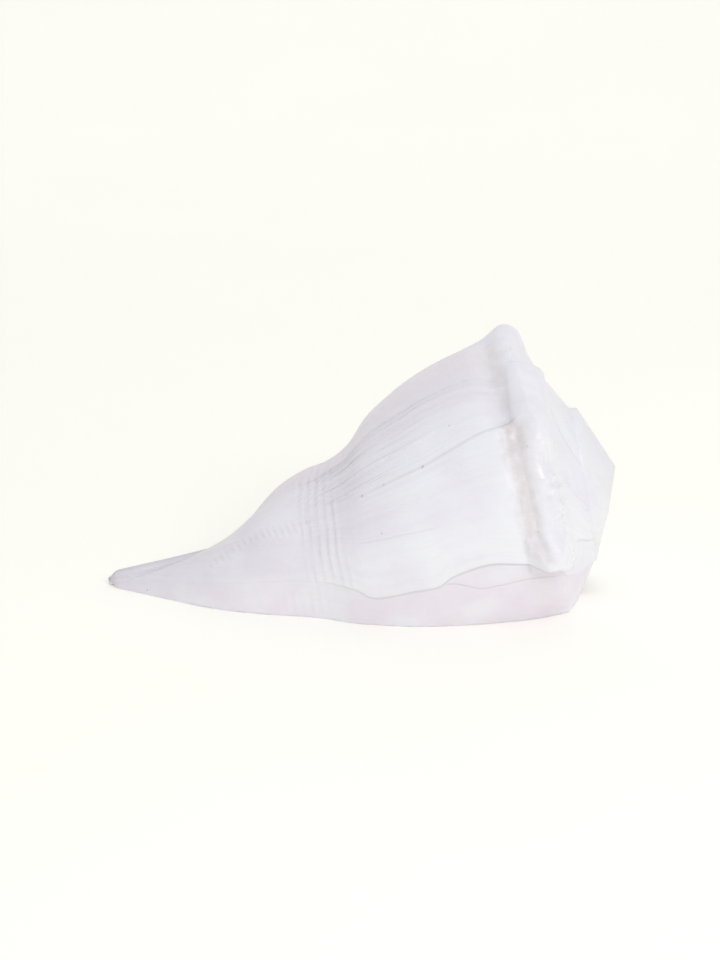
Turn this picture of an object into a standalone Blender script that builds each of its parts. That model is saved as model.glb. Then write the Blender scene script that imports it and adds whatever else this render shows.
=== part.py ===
"""Left-handed whelk shell, sold as a conch shell, lying on its mouth with the canal towards -X.

The shell is described about its own axis. s is the distance from the apex along the axis in
millimetres, r the distance from the axis, and the growth angle runs from the apex to the lip,
0 degrees being the shell's back, which lies on top, and 90 degrees the side towards -Y.
"""

import math

import bmesh
import bpy
from mathutils import Matrix, Vector

MM = 0.001

# Overall size and pose.
LENGTH = 190.0
AXIS_TILT = math.radians(13.2)
CANAL_TIP_HEIGHT = 1.9

# Growth: each table pairs a growth angle with a size there.
WHORL_RATIO = 2.2
SPIRE_ANGLE = -380.0
APEX_ANGLE = -1515.0
LIP_ANGLE = 165.0
SHOULDER_RADIUS = (
    (-380, 23.5), (-290, 26.5), (-200, 30.5), (-155, 38.5), (-110, 44.5), (-20, 52.5), (60, 53.5), (165, 49.5),
)
SHOULDER_PLACE = ((-380, 8.8), (-290, 11.3), (-200, 14.0), (-110, 21.5), (-20, 26.5), (60, 28.5), (165, 27.5))
CANAL_REACH = (
    (-380, 76.0), (-233, 100.0), (-110, 130.0), (-20, 147.0), (20, 151.0), (60, 162.0), (100, 181.0),
    (127, 193.0), (165, 206.0),
)
SUTURE_CLIMB = ((-740, 1.0), (-500, 1.02), (-380, 1.12), (-290, 1.05), (-200, 1.03))

# Body below the shoulder, as a share of the shoulder's radius at shares of the way to the canal's tip.
BACK_BODY = (
    (0.0, 1.0), (0.07, 1.04), (0.15, 1.01), (0.23, 0.965), (0.32, 0.90), (0.39, 0.825), (0.47, 0.71),
    (0.54, 0.557), (0.61, 0.477), (0.69, 0.443), (0.77, 0.375), (0.83, 0.283), (0.89, 0.17), (1.0, 0.043),
)
LIP_BODY = (
    (0.0, 1.0), (0.06, 1.04), (0.15, 1.05), (0.23, 1.05), (0.32, 1.03), (0.39, 0.985), (0.46, 0.92),
    (0.52, 0.824), (0.585, 0.757), (0.665, 0.697), (0.745, 0.606), (0.82, 0.485), (0.885, 0.343), (1.0, 0.08),
)
BODY_CHANGE = (5.0, 130.0)
COLUMELLA_RADIUS = ((100, 5.0), (150, 2.3), (190, 1.6))

# Older knobs on the shoulder: growth angle, height, half width in degrees.
KNOBS = (
    (-300, 2.5, 12), (-253, 3.5, 12), (-207, 2.0, 12), (-158, 9.0, 12), (-113, 7.0, 11), (-66, 7.5, 10),
)

# Former lips: how far a lip runs ahead of its growth angle at distances from the apex, the growth
# angle of the healed break, and the growth angles of the crease across the body.
LIP_SWAY = (
    (25, 8.0), (34, 1.0), (43, -3.0), (51, -5.0), (58, -4.6), (65, -3.0), (70, 0.0), (79, 0.6), (88, 2.0),
    (94, 2.0), (99, -2.0), (113, -5.5), (130, -8.0), (160, -9.0),
)
BREAK_ANGLE = 102.8
CREASE = ((29, 47.0), (37, 49.5), (46, 50.9), (56, 53.8), (66, 57.0), (81, 59.5), (95, 62.0), (104, 63.0))

# Shell wall and the hollow that winds up into the body from the mouth.
WALL = 2.8
CANAL_WALL = 1.9
GLAZE = 0.4
HOLLOW_START = -195.0
HOLLOW_END = 167.0
HOLLOW_COLUMNS = 48

# Fineness of the facets: columns from one growth angle to the next, rows from the shoulder down.
COLUMN_SPANS = ((-195.0, -75.0, 12), (-75.0, -35.0, 5), (-35.0, 125.0, 40), (125.0, 165.0, 5))
RAMP_ROWS = 5
BODY_ROWS = 23
HOLLOW_ROWS = 18


def along_curve(x, table):
    """Smooth value at x of a curve through the table's points, level beyond its ends."""
    if x <= table[0][0]:
        return table[0][1]
    if x >= table[-1][0]:
        return table[-1][1]
    i = max(k for k in range(len(table) - 1) if table[k][0] <= x)
    (x0, y0), (x1, y1) = table[i], table[i + 1]
    before = table[max(i - 1, 0)]
    after = table[min(i + 2, len(table) - 1)]
    rise0 = (y1 - before[1]) / (x1 - before[0])
    rise1 = (after[1] - y0) / (after[0] - x0)
    t = (x - x0) / (x1 - x0)
    h = x1 - x0
    return (
        (1 + 2 * t) * (1 - t) ** 2 * y0
        + t * (1 - t) ** 2 * h * rise0
        + t * t * (3 - 2 * t) * y1
        + t * t * (t - 1) * h * rise1
    )


def eased(x, low, high):
    t = min(max((x - low) / (high - low), 0.0), 1.0)
    return t * t * (3 - 2 * t)


def hump(x, centre, width):
    return math.exp(-(((x - centre) / width) ** 2))


def band(x, low, high, soft):
    """1 between low and high, fading to 0 over the soft edge on each side."""
    return eased(x, low - soft, low) * (1 - eased(x, high, high + soft))


def grown(angle, table):
    """A size at a growth angle; above the last whorls each whorl is a fixed ratio smaller."""
    if angle < SPIRE_ANGLE:
        return table[0][1] * WHORL_RATIO ** ((angle - SPIRE_ANGLE) / 360)
    return along_curve(angle, table)


def columella(s):
    return along_curve(s, COLUMELLA_RADIUS)


def body_radius(s, angle):
    """Radius of the smooth body below the shoulder."""
    top = grown(angle, SHOULDER_PLACE)
    share = (s - top) / (grown(angle, CANAL_REACH) - top)
    change = eased(angle, *BODY_CHANGE)
    shape = along_curve(share, BACK_BODY) * (1 - change) + along_curve(share, LIP_BODY) * change
    wide = grown(angle, SHOULDER_RADIUS) * shape
    pillar = columella(s)
    return 0.5 * (wide + pillar + math.hypot(wide - pillar, 1.2))


def last_knob(s, angle):
    """The last knob, a pyramid with flat facets that stands at the healed break."""
    fall = 3.5 + 7.0 * eased(33.0 - s, 0.0, 8.0)
    facets = (
        (103.2 - angle) * 0.87 / 10.5,
        (angle - 103.2) * 0.87 / fall,
        (s - 33.0) / 5.0,
        (33.0 - s) / 12.0,
    )
    return 5.0 * max(0.0, 1.0 - max(facets))


def shoulder(s, angle):
    """Height of the last whorl's shoulder forms, and how far they lean towards the canal."""
    crest = 25.2 + 0.063 * (angle - 18)
    rolled = eased(angle, 14, 19) * (1 - eased(angle, 50, 62))
    first = 5.8 * hump(angle, -15, 9) * hump(s, 30.0, 5.5)
    notch = -2.0 * hump(angle, 12.0, 2.6) * band(s, 21, 31, 5)
    fold = 5.6 * rolled * hump(s, crest, 4.6)
    ridge = 2.4 * band(angle, 58, 92, 8) * hump(s, 27.0, 4.2)
    below = -2.6 * band(angle, -4, 40, 9) * hump(s, 37.0, 5.0)
    furrow = -1.1 * band(angle, 52, 98, 4) * band(s, 32.5, 36.5, 1.4)
    lean = 2.0 * band(angle, 20, 46, 6) * hump(s, crest + 3.5, 3.0)
    return first + notch + fold + ridge + below + furrow + last_knob(s, angle), lean


def healed_break(s, angle):
    """The later layer of shell comes out from under the older one along a former lip."""
    past = angle - BREAK_ANGLE - along_curve(s, LIP_SWAY)
    deep = (0.55 + 1.3 * hump(s, 33, 9)) * eased(s, 18, 27) * (1 - eased(s, 104, 118))
    return -deep * eased(past, -2.0, 2.0) * (1 - 0.55 * eased(past, 4, 30))


def crease(s, angle):
    """A line across the body from the fold's foot; the side towards the lip is the higher one."""
    past = angle - along_curve(s, CREASE)
    high = (0.42 + 0.9 * hump(s, 33, 12)) * band(s, 31, 88, 7)
    return high * eased(past, -2.0, 2.0) * (1 - eased(past, 3, 20))


def knobbed(s, r, angle, place=1.0):
    """The point moved out by the shoulder's knobs and by what former lips left on the body."""
    top = grown(angle, SHOULDER_PLACE)
    down = (s - top) * 52.5 / grown(angle, SHOULDER_RADIUS)
    near = hump(down, 0, 5.0 if down < 0 else 11.0)
    lift = sum(height * hump(angle, place, width) for place, height, width in KNOBS) * near
    out, lean = shoulder(s, angle)
    out += healed_break(s, angle) + crease(s, angle)
    near = eased(angle, -60, -30) * eased(place, 0.12, 0.7)
    return s + 0.25 * lift + lean * near, r + lift + out * near


def suture(angle):
    """Where the whorl joins the one before it, on that whorl's own surface."""
    before = angle - 360
    if before < APEX_ANGLE:
        return 0.0, 0.0
    climb = along_curve(before, SUTURE_CLIMB)
    return on_whorl(before, climb)


def on_whorl(angle, place):
    """Surface point of a whorl: place 0 is its suture, 1 its shoulder, above 1 on the body below.

    The first whorl starts at a point.
    """
    begun = min((angle - APEX_ANGLE) / 300, 1.0)
    top, wide = grown(angle, SHOULDER_PLACE) * begun, grown(angle, SHOULDER_RADIUS) * begun
    if place <= 1:
        s0, r0 = suture(angle)
        s = s0 + (top - s0) * place
        r = r0 + (wide - r0) * place
        return knobbed(s, r, angle, place)
    s = top + (place - 1) * wide
    return knobbed(s, body_radius(s, angle), angle)


def in_frame(s, r, angle):
    """A point about the shell's axis as a point in metres."""
    psi = math.radians(angle)
    up = r * math.cos(psi)
    x = (LENGTH - s) * math.cos(AXIS_TILT) - up * math.sin(AXIS_TILT)
    y = -r * math.sin(psi)
    z = CANAL_TIP_HEIGHT + (LENGTH - s) * math.sin(AXIS_TILT) + up * math.cos(AXIS_TILT)
    return Vector((x * MM, y * MM, z * MM))


def grid(bm, columns, rows, place):
    """A sheet of columns by rows quads, each corner put where place(column, row) says."""
    made = bmesh.ops.create_grid(bm, x_segments=columns, y_segments=rows, size=1.0)
    sheet = sorted(made["verts"], key=lambda v: (round(v.co.x, 5), round(v.co.y, 5)))
    for n, vertex in enumerate(sheet):
        vertex.co = place(n // (rows + 1), n % (rows + 1))
    return [sheet[c * (rows + 1):(c + 1) * (rows + 1)] for c in range(columns + 1)]


def made_object(bm, name):
    """Close off the mesh work: faces outward and in triangles, in an object of its own."""
    bmesh.ops.recalc_face_normals(bm, faces=bm.faces)
    if bm.calc_volume(signed=True) < 0:
        bmesh.ops.reverse_faces(bm, faces=bm.faces)
    bmesh.ops.triangulate(bm, faces=bm.faces)
    mesh = bpy.data.meshes.new(name)
    bm.to_mesh(mesh)
    bm.free()
    made = bpy.data.objects.new(name, mesh)
    bpy.context.scene.collection.objects.link(made)
    return made


def cutter(bm, name):
    made = made_object(bm, name)
    made.hide_render = True
    made.display_type = "WIRE"
    return made


def last_whorl_angles():
    angles = []
    for start, end, steps in COLUMN_SPANS:
        angles += [start + (end - start) * n / steps for n in range(steps)]
    return angles + [LIP_ANGLE]


def spire_angles():
    """The last whorl's angles repeated up the spire, so that the whorls meet corner to corner."""
    turns = [[a - 360 * turn for a in last_whorl_angles()[:-1]] for turn in (4, 3, 2, 1)]
    return [a for turn in turns for a in turn if a >= APEX_ANGLE] + [LIP_ANGLE - 360]


def outside():
    """The shell as if it were filled: the spire's winding ramp, the last whorl and its closed mouth."""
    bm = bmesh.new()
    early, late = spire_angles(), last_whorl_angles()

    def spire_point(column, row):
        angle = early[column]
        stop = along_curve(angle, SUTURE_CLIMB)
        return in_frame(*on_whorl(angle, stop * row / RAMP_ROWS), angle)

    def whorl_point(column, row):
        angle = late[column]
        stop = along_curve(angle, SUTURE_CLIMB)
        if row <= RAMP_ROWS:
            return in_frame(*on_whorl(angle, stop * row / RAMP_ROWS), angle)
        first = grown(angle, SHOULDER_PLACE) + (stop - 1) * grown(angle, SHOULDER_RADIUS)
        s = first + (LENGTH - first) * ((row - RAMP_ROWS) / BODY_ROWS) ** 1.4
        return in_frame(*knobbed(s, body_radius(s, angle), angle), angle)

    grid(bm, len(early) - 1, RAMP_ROWS, spire_point)
    whorl = grid(bm, len(late) - 1, RAMP_ROWS + BODY_ROWS, whorl_point)
    bm.faces.new([column[-1] for column in whorl])
    bm.faces.new(whorl[-1] + whorl[0][:RAMP_ROWS - 1:-1])
    bmesh.ops.remove_doubles(bm, verts=bm.verts, dist=1e-6)
    bmesh.ops.holes_fill(bm, edges=[e for e in bm.edges if e.is_boundary], sides=0)
    return made_object(bm, "shell")


def outer_radius(s, angle):
    """Radius of the last whorl's outside at s, ramp included."""
    top, wide = grown(angle, SHOULDER_PLACE), grown(angle, SHOULDER_RADIUS)
    if s >= top:
        return body_radius(s, angle)
    s0, r0 = suture(angle)
    return r0 + (wide - r0) * max(s - s0, 0.0) / (top - s0)


def wall(s):
    """Wall thickness along the shell, thinner round the canal."""
    return WALL + (CANAL_WALL - WALL) * eased(s, 95.0, 150.0)


def hollow_edge(s, angle):
    """Outer and inner radius of the hollow at s."""
    steep = (outer_radius(s + 0.5, angle) - outer_radius(s - 0.5, angle))
    sunk = min(shoulder(s, angle)[0], 0.0) * eased(angle, -60, -30)
    outer = outer_radius(s, angle) - wall(s) * math.sqrt(1 + steep * steep) + sunk
    inner = max(outer_radius(s, angle - 360), columella(s)) + GLAZE
    return outer, inner


def hollow_span(angle):
    """The stretch of the axis along which the hollow is open at a growth angle."""
    first = suture(angle)[0] + 0.6 * WALL
    steps = [first + 0.25 * n for n in range(int(4 * (LENGTH + 12 - first)))]
    open_there = [s for s in steps if hollow_edge(s, angle)[0] - hollow_edge(s, angle)[1] > 0.8]
    return open_there[0], open_there[-1]


def hollow():
    """The winding hollow behind the mouth, a closed tube to be cut away."""
    bm = bmesh.new()
    step = (HOLLOW_END - HOLLOW_START) / HOLLOW_COLUMNS
    spans = [hollow_span(HOLLOW_START + c * step) for c in range(HOLLOW_COLUMNS + 1)]

    def place(column, row):
        angle = HOLLOW_START + column * step
        low, high = spans[column]
        across = row if row <= HOLLOW_ROWS else 2 * HOLLOW_ROWS + 1 - row
        s = low + (high - low) * across / HOLLOW_ROWS
        outer, inner = hollow_edge(s, angle)
        return in_frame(s, outer if row <= HOLLOW_ROWS else inner, angle)

    tube = grid(bm, HOLLOW_COLUMNS, 2 * HOLLOW_ROWS + 1, place)
    for one, two in zip(tube, tube[1:]):
        bm.faces.new((one[0], two[0], two[-1], one[-1]))
    bm.faces.new(tube[0])
    bm.faces.new(tube[-1])
    return cutter(bm, "hollow")


def table():
    """The block below the surface that the shell lies on; it trims the mouth's rim flat."""
    bm = bmesh.new()
    bmesh.ops.create_cube(bm, size=0.5)
    bmesh.ops.translate(bm, verts=bm.verts, vec=(0, 0, -0.25))
    return cutter(bm, "table")


def cut(body, tool):
    """Subtract the tool with an exact Boolean."""
    step = body.modifiers.new(tool.name, "BOOLEAN")
    step.operation = "DIFFERENCE"
    step.solver = "EXACT"
    step.object = tool


def centred(body):
    """Keep the cut mesh, with the origin under the middle of its bounding box."""
    seen = body.evaluated_get(bpy.context.evaluated_depsgraph_get())
    mesh = bpy.data.meshes.new_from_object(seen)
    body.modifiers.clear()
    body.data = mesh
    xs = [v.co.x for v in mesh.vertices]
    ys = [v.co.y for v in mesh.vertices]
    mesh.transform(Matrix.Translation((-(min(xs) + max(xs)) / 2, -(min(ys) + max(ys)) / 2, 0)))


def bleached_shell():
    material = bpy.data.materials.new("bleached shell")
    material.use_nodes = True
    surface = material.node_tree.nodes["Principled BSDF"]
    surface.inputs["Base Color"].default_value = (0.80, 0.78, 0.80, 1.0)
    surface.inputs["Roughness"].default_value = 0.35
    surface.inputs["Metallic"].default_value = 0.0
    return material


def main():
    for thing in list(bpy.data.objects):
        bpy.data.objects.remove(thing)
    shell = outside()
    for tool in (hollow(), table()):
        cut(shell, tool)
    centred(shell)
    shell.data.materials.clear()
    shell.data.materials.append(bleached_shell())


main()
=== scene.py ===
import math
import bmesh
import bpy
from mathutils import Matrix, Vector, noise


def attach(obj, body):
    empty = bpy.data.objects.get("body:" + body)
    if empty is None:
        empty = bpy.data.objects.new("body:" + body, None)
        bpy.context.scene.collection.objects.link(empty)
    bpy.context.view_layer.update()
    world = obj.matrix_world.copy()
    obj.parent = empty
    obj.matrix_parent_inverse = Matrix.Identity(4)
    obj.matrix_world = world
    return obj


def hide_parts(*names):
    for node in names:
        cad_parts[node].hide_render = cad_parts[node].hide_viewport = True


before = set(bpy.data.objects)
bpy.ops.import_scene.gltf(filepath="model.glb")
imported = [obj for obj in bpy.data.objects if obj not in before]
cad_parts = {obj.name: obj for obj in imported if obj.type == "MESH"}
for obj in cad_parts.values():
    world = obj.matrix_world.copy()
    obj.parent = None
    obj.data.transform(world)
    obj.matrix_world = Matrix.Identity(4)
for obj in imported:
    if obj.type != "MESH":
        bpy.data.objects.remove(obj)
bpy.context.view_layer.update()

# The shell: one piece of lime, laid down layer on layer by the edge of the snail's mantle, which is
# why every line on it is either an old lip, across the whorl, or a rib drawn along by that edge. It
# lies on its mouth.

# Lengths are in millimetres: s is the distance from the apex along the axis, and r the distance from
# the axis. The growth angle is in degrees, 0 on the back and 90 on the side towards -Y.
MM = 0.001
LENGTH = 190.0
AXIS_TILT = math.radians(13.2)
APEX = max((v.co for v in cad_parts["shell"].data.vertices), key=lambda co: co.x).copy()
AXIS = Vector((-math.cos(AXIS_TILT), 0.0, -math.sin(AXIS_TILT)))
BACKWARD = Vector((-math.sin(AXIS_TILT), 0.0, math.cos(AXIS_TILT)))

WHORL_RATIO = 2.2
SPIRE_ANGLE = -380.0
APEX_ANGLE = -1515.0
LIP_ANGLE = 165.0
FIRST_TURN = 300.0

# The shoulder's r and s, and the s that the canal reaches, by growth angle.
SHOULDER_RADIUS = (
    (-380, 23.5), (-290, 26.5), (-200, 30.5), (-155, 38.5), (-110, 44.5), (-20, 52.5), (60, 53.5),
    (165, 49.5),
)
SHOULDER_PLACE = (
    (-380, 8.8), (-290, 11.3), (-200, 14.0), (-110, 21.5), (-20, 26.5), (60, 28.5), (165, 27.5),
)
CANAL_REACH = (
    (-380, 76.0), (-233, 100.0), (-110, 130.0), (-20, 147.0), (20, 151.0), (60, 162.0), (100, 181.0),
    (127, 193.0), (165, 206.0),
)

# How far down the older whorl the next one is fixed to it: 1 is the shoulder.
SUTURE_CLIMB = ((-740, 1.0), (-500, 1.02), (-380, 1.12), (-290, 1.05), (-200, 1.03))

# The body below the shoulder: share of the way to the canal's tip, and share of the shoulder's r.
# The first form changes to the second, rounder one between the two growth angles.
BACK_BODY = (
    (0.0, 1.0), (0.07, 1.04), (0.15, 1.01), (0.23, 0.965), (0.32, 0.90), (0.39, 0.825), (0.47, 0.71),
    (0.54, 0.557), (0.61, 0.477), (0.69, 0.443), (0.77, 0.375), (0.83, 0.283), (0.89, 0.17), (1.0, 0.043),
)
LIP_BODY = (
    (0.0, 1.0), (0.06, 1.04), (0.15, 1.05), (0.23, 1.05), (0.32, 1.03), (0.39, 0.985), (0.46, 0.92),
    (0.52, 0.824), (0.585, 0.757), (0.665, 0.697), (0.745, 0.606), (0.82, 0.485), (0.885, 0.343),
    (1.0, 0.08),
)
BODY_CHANGE = (5.0, 130.0)
COLUMELLA_RADIUS = ((100, 5.0), (150, 2.3), (190, 1.6))
COLUMELLA_BLEND = 1.2

# Each older knob: growth angle, height, and half width in degrees. Its slopes are given for a
# shoulder of the radius KNOB_SHOULDER, and shrink with the shoulder up the spire.
KNOB_SHOULDER = 52.5
KNOBS = (
    (-300, 2.5, 12), (-253, 3.5, 12), (-207, 2.0, 12), (-158, 9.0, 12), (-113, 7.0, 11), (-66, 7.5, 10),
)
WALL = 2.8
CANAL_WALL = 1.9
GLAZE = 0.4


def along_curve(x, table):
    """Smooth value at x of a curve through the table's points, level beyond its ends."""
    if x <= table[0][0]:
        return table[0][1]
    if x >= table[-1][0]:
        return table[-1][1]
    i = max(k for k in range(len(table) - 1) if table[k][0] <= x)
    (x0, y0), (x1, y1) = table[i], table[i + 1]
    before, after = table[max(i - 1, 0)], table[min(i + 2, len(table) - 1)]
    rise0 = (y1 - before[1]) / (x1 - before[0])
    rise1 = (after[1] - y0) / (after[0] - x0)
    t, h = (x - x0) / (x1 - x0), x1 - x0
    start = (1 + 2 * t) * (1 - t) ** 2 * y0 + t * (1 - t) ** 2 * h * rise0
    return start + t * t * (3 - 2 * t) * y1 + t * t * (t - 1) * h * rise1


def eased(x, low, high):
    t = min(max((x - low) / (high - low), 0.0), 1.0)
    return t * t * (3 - 2 * t)


def hump(x, centre, width):
    return math.exp(-(((x - centre) / width) ** 2))


def band(x, low, high, soft):
    """1 between low and high, fading to 0 over the soft edge on each side."""
    return eased(x, low - soft, low) * (1 - eased(x, high, high + soft))


def grown(angle, table):
    if angle < SPIRE_ANGLE:
        return table[0][1] * WHORL_RATIO ** ((angle - SPIRE_ANGLE) / 360)
    return along_curve(angle, table)


def body_radius(s, angle):
    """Radius of the outside below the shoulder, which runs softly into the columella."""
    top = grown(angle, SHOULDER_PLACE)
    share = (s - top) / (grown(angle, CANAL_REACH) - top)
    change = eased(angle, *BODY_CHANGE)
    shape = along_curve(share, BACK_BODY) * (1 - change) + along_curve(share, LIP_BODY) * change
    wide = grown(angle, SHOULDER_RADIUS) * shape
    pillar = along_curve(s, COLUMELLA_RADIUS)
    return 0.5 * (wide + pillar + math.hypot(wide - pillar, COLUMELLA_BLEND))


def knobbed(s, r, angle):
    """The older knobs, on the far side: plain cones on the shoulder."""
    top = grown(angle, SHOULDER_PLACE)
    down = (s - top) * KNOB_SHOULDER / grown(angle, SHOULDER_RADIUS)
    near = hump(down, 0, 5.0 if down < 0 else 11.0)
    lift = sum(height * hump(angle, place, width) for place, height, width in KNOBS)
    return s + 0.25 * lift * near, r + lift * near


def suture(angle):
    """s and r of the line where this whorl is fixed to the one before it."""
    before = angle - 360
    if before < APEX_ANGLE:
        return 0.0, 0.0
    return on_whorl(before, along_curve(before, SUTURE_CLIMB))


def on_whorl(angle, place):
    """s and r of the smooth outside: place 0 is the suture, 1 the shoulder, and above 1 the body."""
    begun = min((angle - APEX_ANGLE) / FIRST_TURN, 1.0)
    top, wide = grown(angle, SHOULDER_PLACE) * begun, grown(angle, SHOULDER_RADIUS) * begun
    if place <= 1:
        s0, r0 = suture(angle)
        return knobbed(s0 + (top - s0) * place, r0 + (wide - r0) * place, angle)
    s = top + (place - 1) * wide
    return knobbed(s, body_radius(s, angle), angle)


def in_frame(s, r, angle):
    psi = math.radians(angle)
    out = BACKWARD * math.cos(psi) - Vector((0, 1, 0)) * math.sin(psi)
    return APEX + (AXIS * s + out * r) * MM


# What the mantle's edge left on the last whorl: the knobs and the fold of the shoulder, old lips that
# stand as raised lines, one healed break whose older edge stands proud, and the ribs above the canal.
# The crease and the row of beads are lists of s and the growth angle there, and LIP_SWAY is how far
# any former lip runs ahead of its own growth angle at each s.
LIP_SWAY = (
    (25, 8.0), (34, 1.0), (43, -3.0), (51, -5.0), (58, -4.6), (65, -3.0), (70, 0.0), (79, 0.6), (88, 2.0),
    (94, 2.0), (99, -2.0), (113, -5.5), (130, -8.0), (160, -9.0),
)
SCAR_ANGLE = 102.8
CREASE_ANGLE = 55.0
CREASE = ((29, 47.0), (37, 49.5), (46, 50.9), (56, 53.8), (66, 57.0), (81, 59.5), (95, 62.0), (104, 63.0))

# Each old lip: growth angle, height, half width in degrees, and the s where it starts and ends.
OLD_LIPS = (
    (31.5, 0.80, 0.7, 36, 104), (27.5, 0.60, 0.7, 34, 102), (35.0, 0.55, 0.7, 40, 100),
    (38.5, 0.36, 0.7, 48, 96), (42.0, 0.34, 0.7, 52, 98), (46.0, 0.30, 0.7, 56, 98),
    (82.0, 0.16, 0.7, 66, 112), (13.0, 0.20, 0.8, 36, 90), (-2.0, 0.16, 0.9, 40, 110),
    (68.0, 0.14, 0.7, 60, 108),
)

RIB_SPACING = 3.1
NET_DEGREES = 5.2
BEAD_SPACING = 2.4
BEAD_LINE = ((112, 65.0), (120, 66.5), (128, 64.5), (136, 68.5), (143, 74.5), (150, 82.0))

# Each fine edge or crack: its line, the s where it starts and ends, millimetres per degree, depth.
HAIRLINES = (
    (
        ((29, 112.5), (39, 108.9), (49, 108.1), (56, 107.6), (61, 104.8), (65, 102.9), (69, 102.8)),
        31, 66, 0.9, 0.8,
    ),
    (((54, 80.0), (77, 80.5), (100, 81.3)), 68, 92, 0.9, 0.45),
    (((10, 79.0), (14, 62.0), (17, 48.0), (20.5, 26.0)), 12, 18, 0.18, 0.6),
    (((8, 62.0), (12, 44.0), (16, 20.0)), 10, 13, 0.18, 0.5),
    (((12, 136.0), (15, 122.0), (18.6, 109.0), (22.2, 105.0)), 13, 19, 0.28, 0.8),
    (((11.4, 100.0), (14.5, 97.0), (16.3, 91.0)), 12, 15, 0.5, 0.6),
)

# The last knob's tip is given by s and growth angle, and each nodule on the ridge by growth angle,
# half width in degrees, s and height.
KNOB_TIP = (33.0, 103.2)
KNOB_HEIGHT = 6.6
NODULES = (
    (64, 1.5, 28.6, 0.7), (67.5, 1.3, 27.0, 0.8), (71.5, 1.5, 27.4, 1.3), (76.0, 1.4, 26.4, 1.5),
    (79.6, 1.0, 27.6, 1.0), (82.6, 1.0, 26.2, 1.1), (86.5, 1.6, 27.0, 1.2), (91.0, 1.6, 25.6, 0.9),
)
SCALLOP_DEGREES = 5.2
THREAD_SPACING = 2.2
RELIEF_START = (-60, -30)


def lip_line(s):
    """How far a former lip runs ahead of its growth angle at s, in degrees."""
    return along_curve(s, LIP_SWAY)


def ribs(s, angle):
    """Ribs above the canal, jogged wherever growth paused: phase and height."""
    pause = 0.12 * math.sin(angle * 0.21) + 0.45 * noise.noise(Vector((angle * 0.05, s * 0.02, 3.1)))
    jog = 0.20 * (eased(angle, 67, 70) - eased(angle, 80, 83) + eased(angle, 92, 95))
    strong = band(s, 100, 112.5, 3) * band(angle, 24, 96, 10)
    faint = band(s, 88, 98, 6) * band(angle, 30, 96, 12) * 0.16
    low = band(s, 110, 126, 4) * band(angle, 103.5, 118, 2) * 0.55
    back = band(s, 96, 112, 8) * band(angle, -150, 20, 14) * 0.4
    patchy = 0.70 + 0.7 * noise.noise(Vector((angle * 0.09, s * 0.16, 9.3)))
    phase = (s - 0.05 * (angle - 40) + pause + jog) / RIB_SPACING
    return phase, max(strong, faint, low, back) * patchy


def net(s, angle):
    """Steps of growth that cut the ribs into square blocks: phase and height."""
    bend = 0.5 * noise.noise(Vector((angle * 0.1, s * 0.1, 6.4)))
    return (angle - 0.35 * s) / NET_DEGREES + bend, band(s, 94, 117, 4) * band(angle, 26, 56, 5)


def beads(s, angle):
    """A slanting row of short ridges that runs down to the canal: phase and height."""
    line = along_curve(s, BEAD_LINE)
    phase = (s + 0.16 * (angle - line)) / BEAD_SPACING
    return phase, 0.75 * hump(angle, line, 4.4) * band(s, 110, 148, 4)


def hairline(s, angle):
    """Distance past the nearest fine edge or crack, in millimetres, and how deep it is there."""
    found = [
        ((angle - along_curve(s, line)) * per_degree, depth * band(s, start, end, 3))
        for line, start, end, per_degree, depth in HAIRLINES
    ]
    return min(found, key=lambda one: abs(one[0]) + 6 * (1 - one[1]))


def rib_marks(s, angle):
    """What the finish needs of each mark: its phase or distance in tenths, and its height."""
    marks = (ribs(s, angle), net(s, angle), beads(s, angle), hairline(s, angle))
    return [(first / 10, strength) for first, strength in marks]


def scar_step(s, angle):
    """The healed break: the newer layer comes out from under the older one."""
    past = angle - SCAR_ANGLE - lip_line(s)
    deep = 0.36 + 1.1 * hump(s, 33, 8) + 0.22 * hump(s, 50, 12)
    deep *= eased(s, 18, 27) * (1 - eased(s, 104, 118))
    lifted_edge = 0.22 * hump(past, -1.4, 1.6)
    return deep * (lifted_edge - eased(past, -0.2, 0.7) * (1 - 0.55 * eased(past, 4, 30)))


def last_knob(s, angle):
    """A pyramid with flat facets; below its tip the shell drops to the healed break."""
    tip_s, tip_angle = KNOB_TIP
    fall = 3.5 + 7.0 * eased(tip_s - s, 0.0, 8.0)
    facets = (
        (tip_angle - angle) * 0.87 / 10.5,
        (angle - tip_angle) * 0.87 / fall,
        (s - tip_s) / 5.0,
        (tip_s - s) / 12.0,
    )
    return KNOB_HEIGHT * max(0.0, 1.0 - max(facets))


def shoulder(s, angle):
    """Knobs, rolled fold and furrow of the shoulder: outward and towards the canal, in millimetres."""
    crest = 24.5 + 0.080 * (angle - 18)
    rolled = eased(angle, 17.0, 20.5) * (1 - eased(angle, 52, 66))
    first = 5.8 * hump(angle, -15, 9) * hump(s, 29.6, 5.2 if s < 29.6 else 4.8)
    notch = -1.0 * hump(angle, 14.2, 2.4) * band(s, 21, 31, 4)
    fold = 5.8 * rolled * hump(s, crest, 5.0 if s < crest else 3.4)
    ridge = 1.9 * band(angle, 60, 84, 7) * hump(s, 28.0, 3.4 if s > 28.0 else 7.5)
    below = -3.2 * band(angle, -4, 44, 8) * hump(s, 36.5, 4.8)
    furrow = -1.0 * band(angle, 52, 98, 4) * band(s, 32.5, 36.0, 1.2)
    lean = 2.4 * band(angle, 20, 46, 6) * hump(s, crest + 3.0, 2.6)
    return first + notch + fold + ridge + below + furrow + last_knob(s, angle), lean


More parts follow.
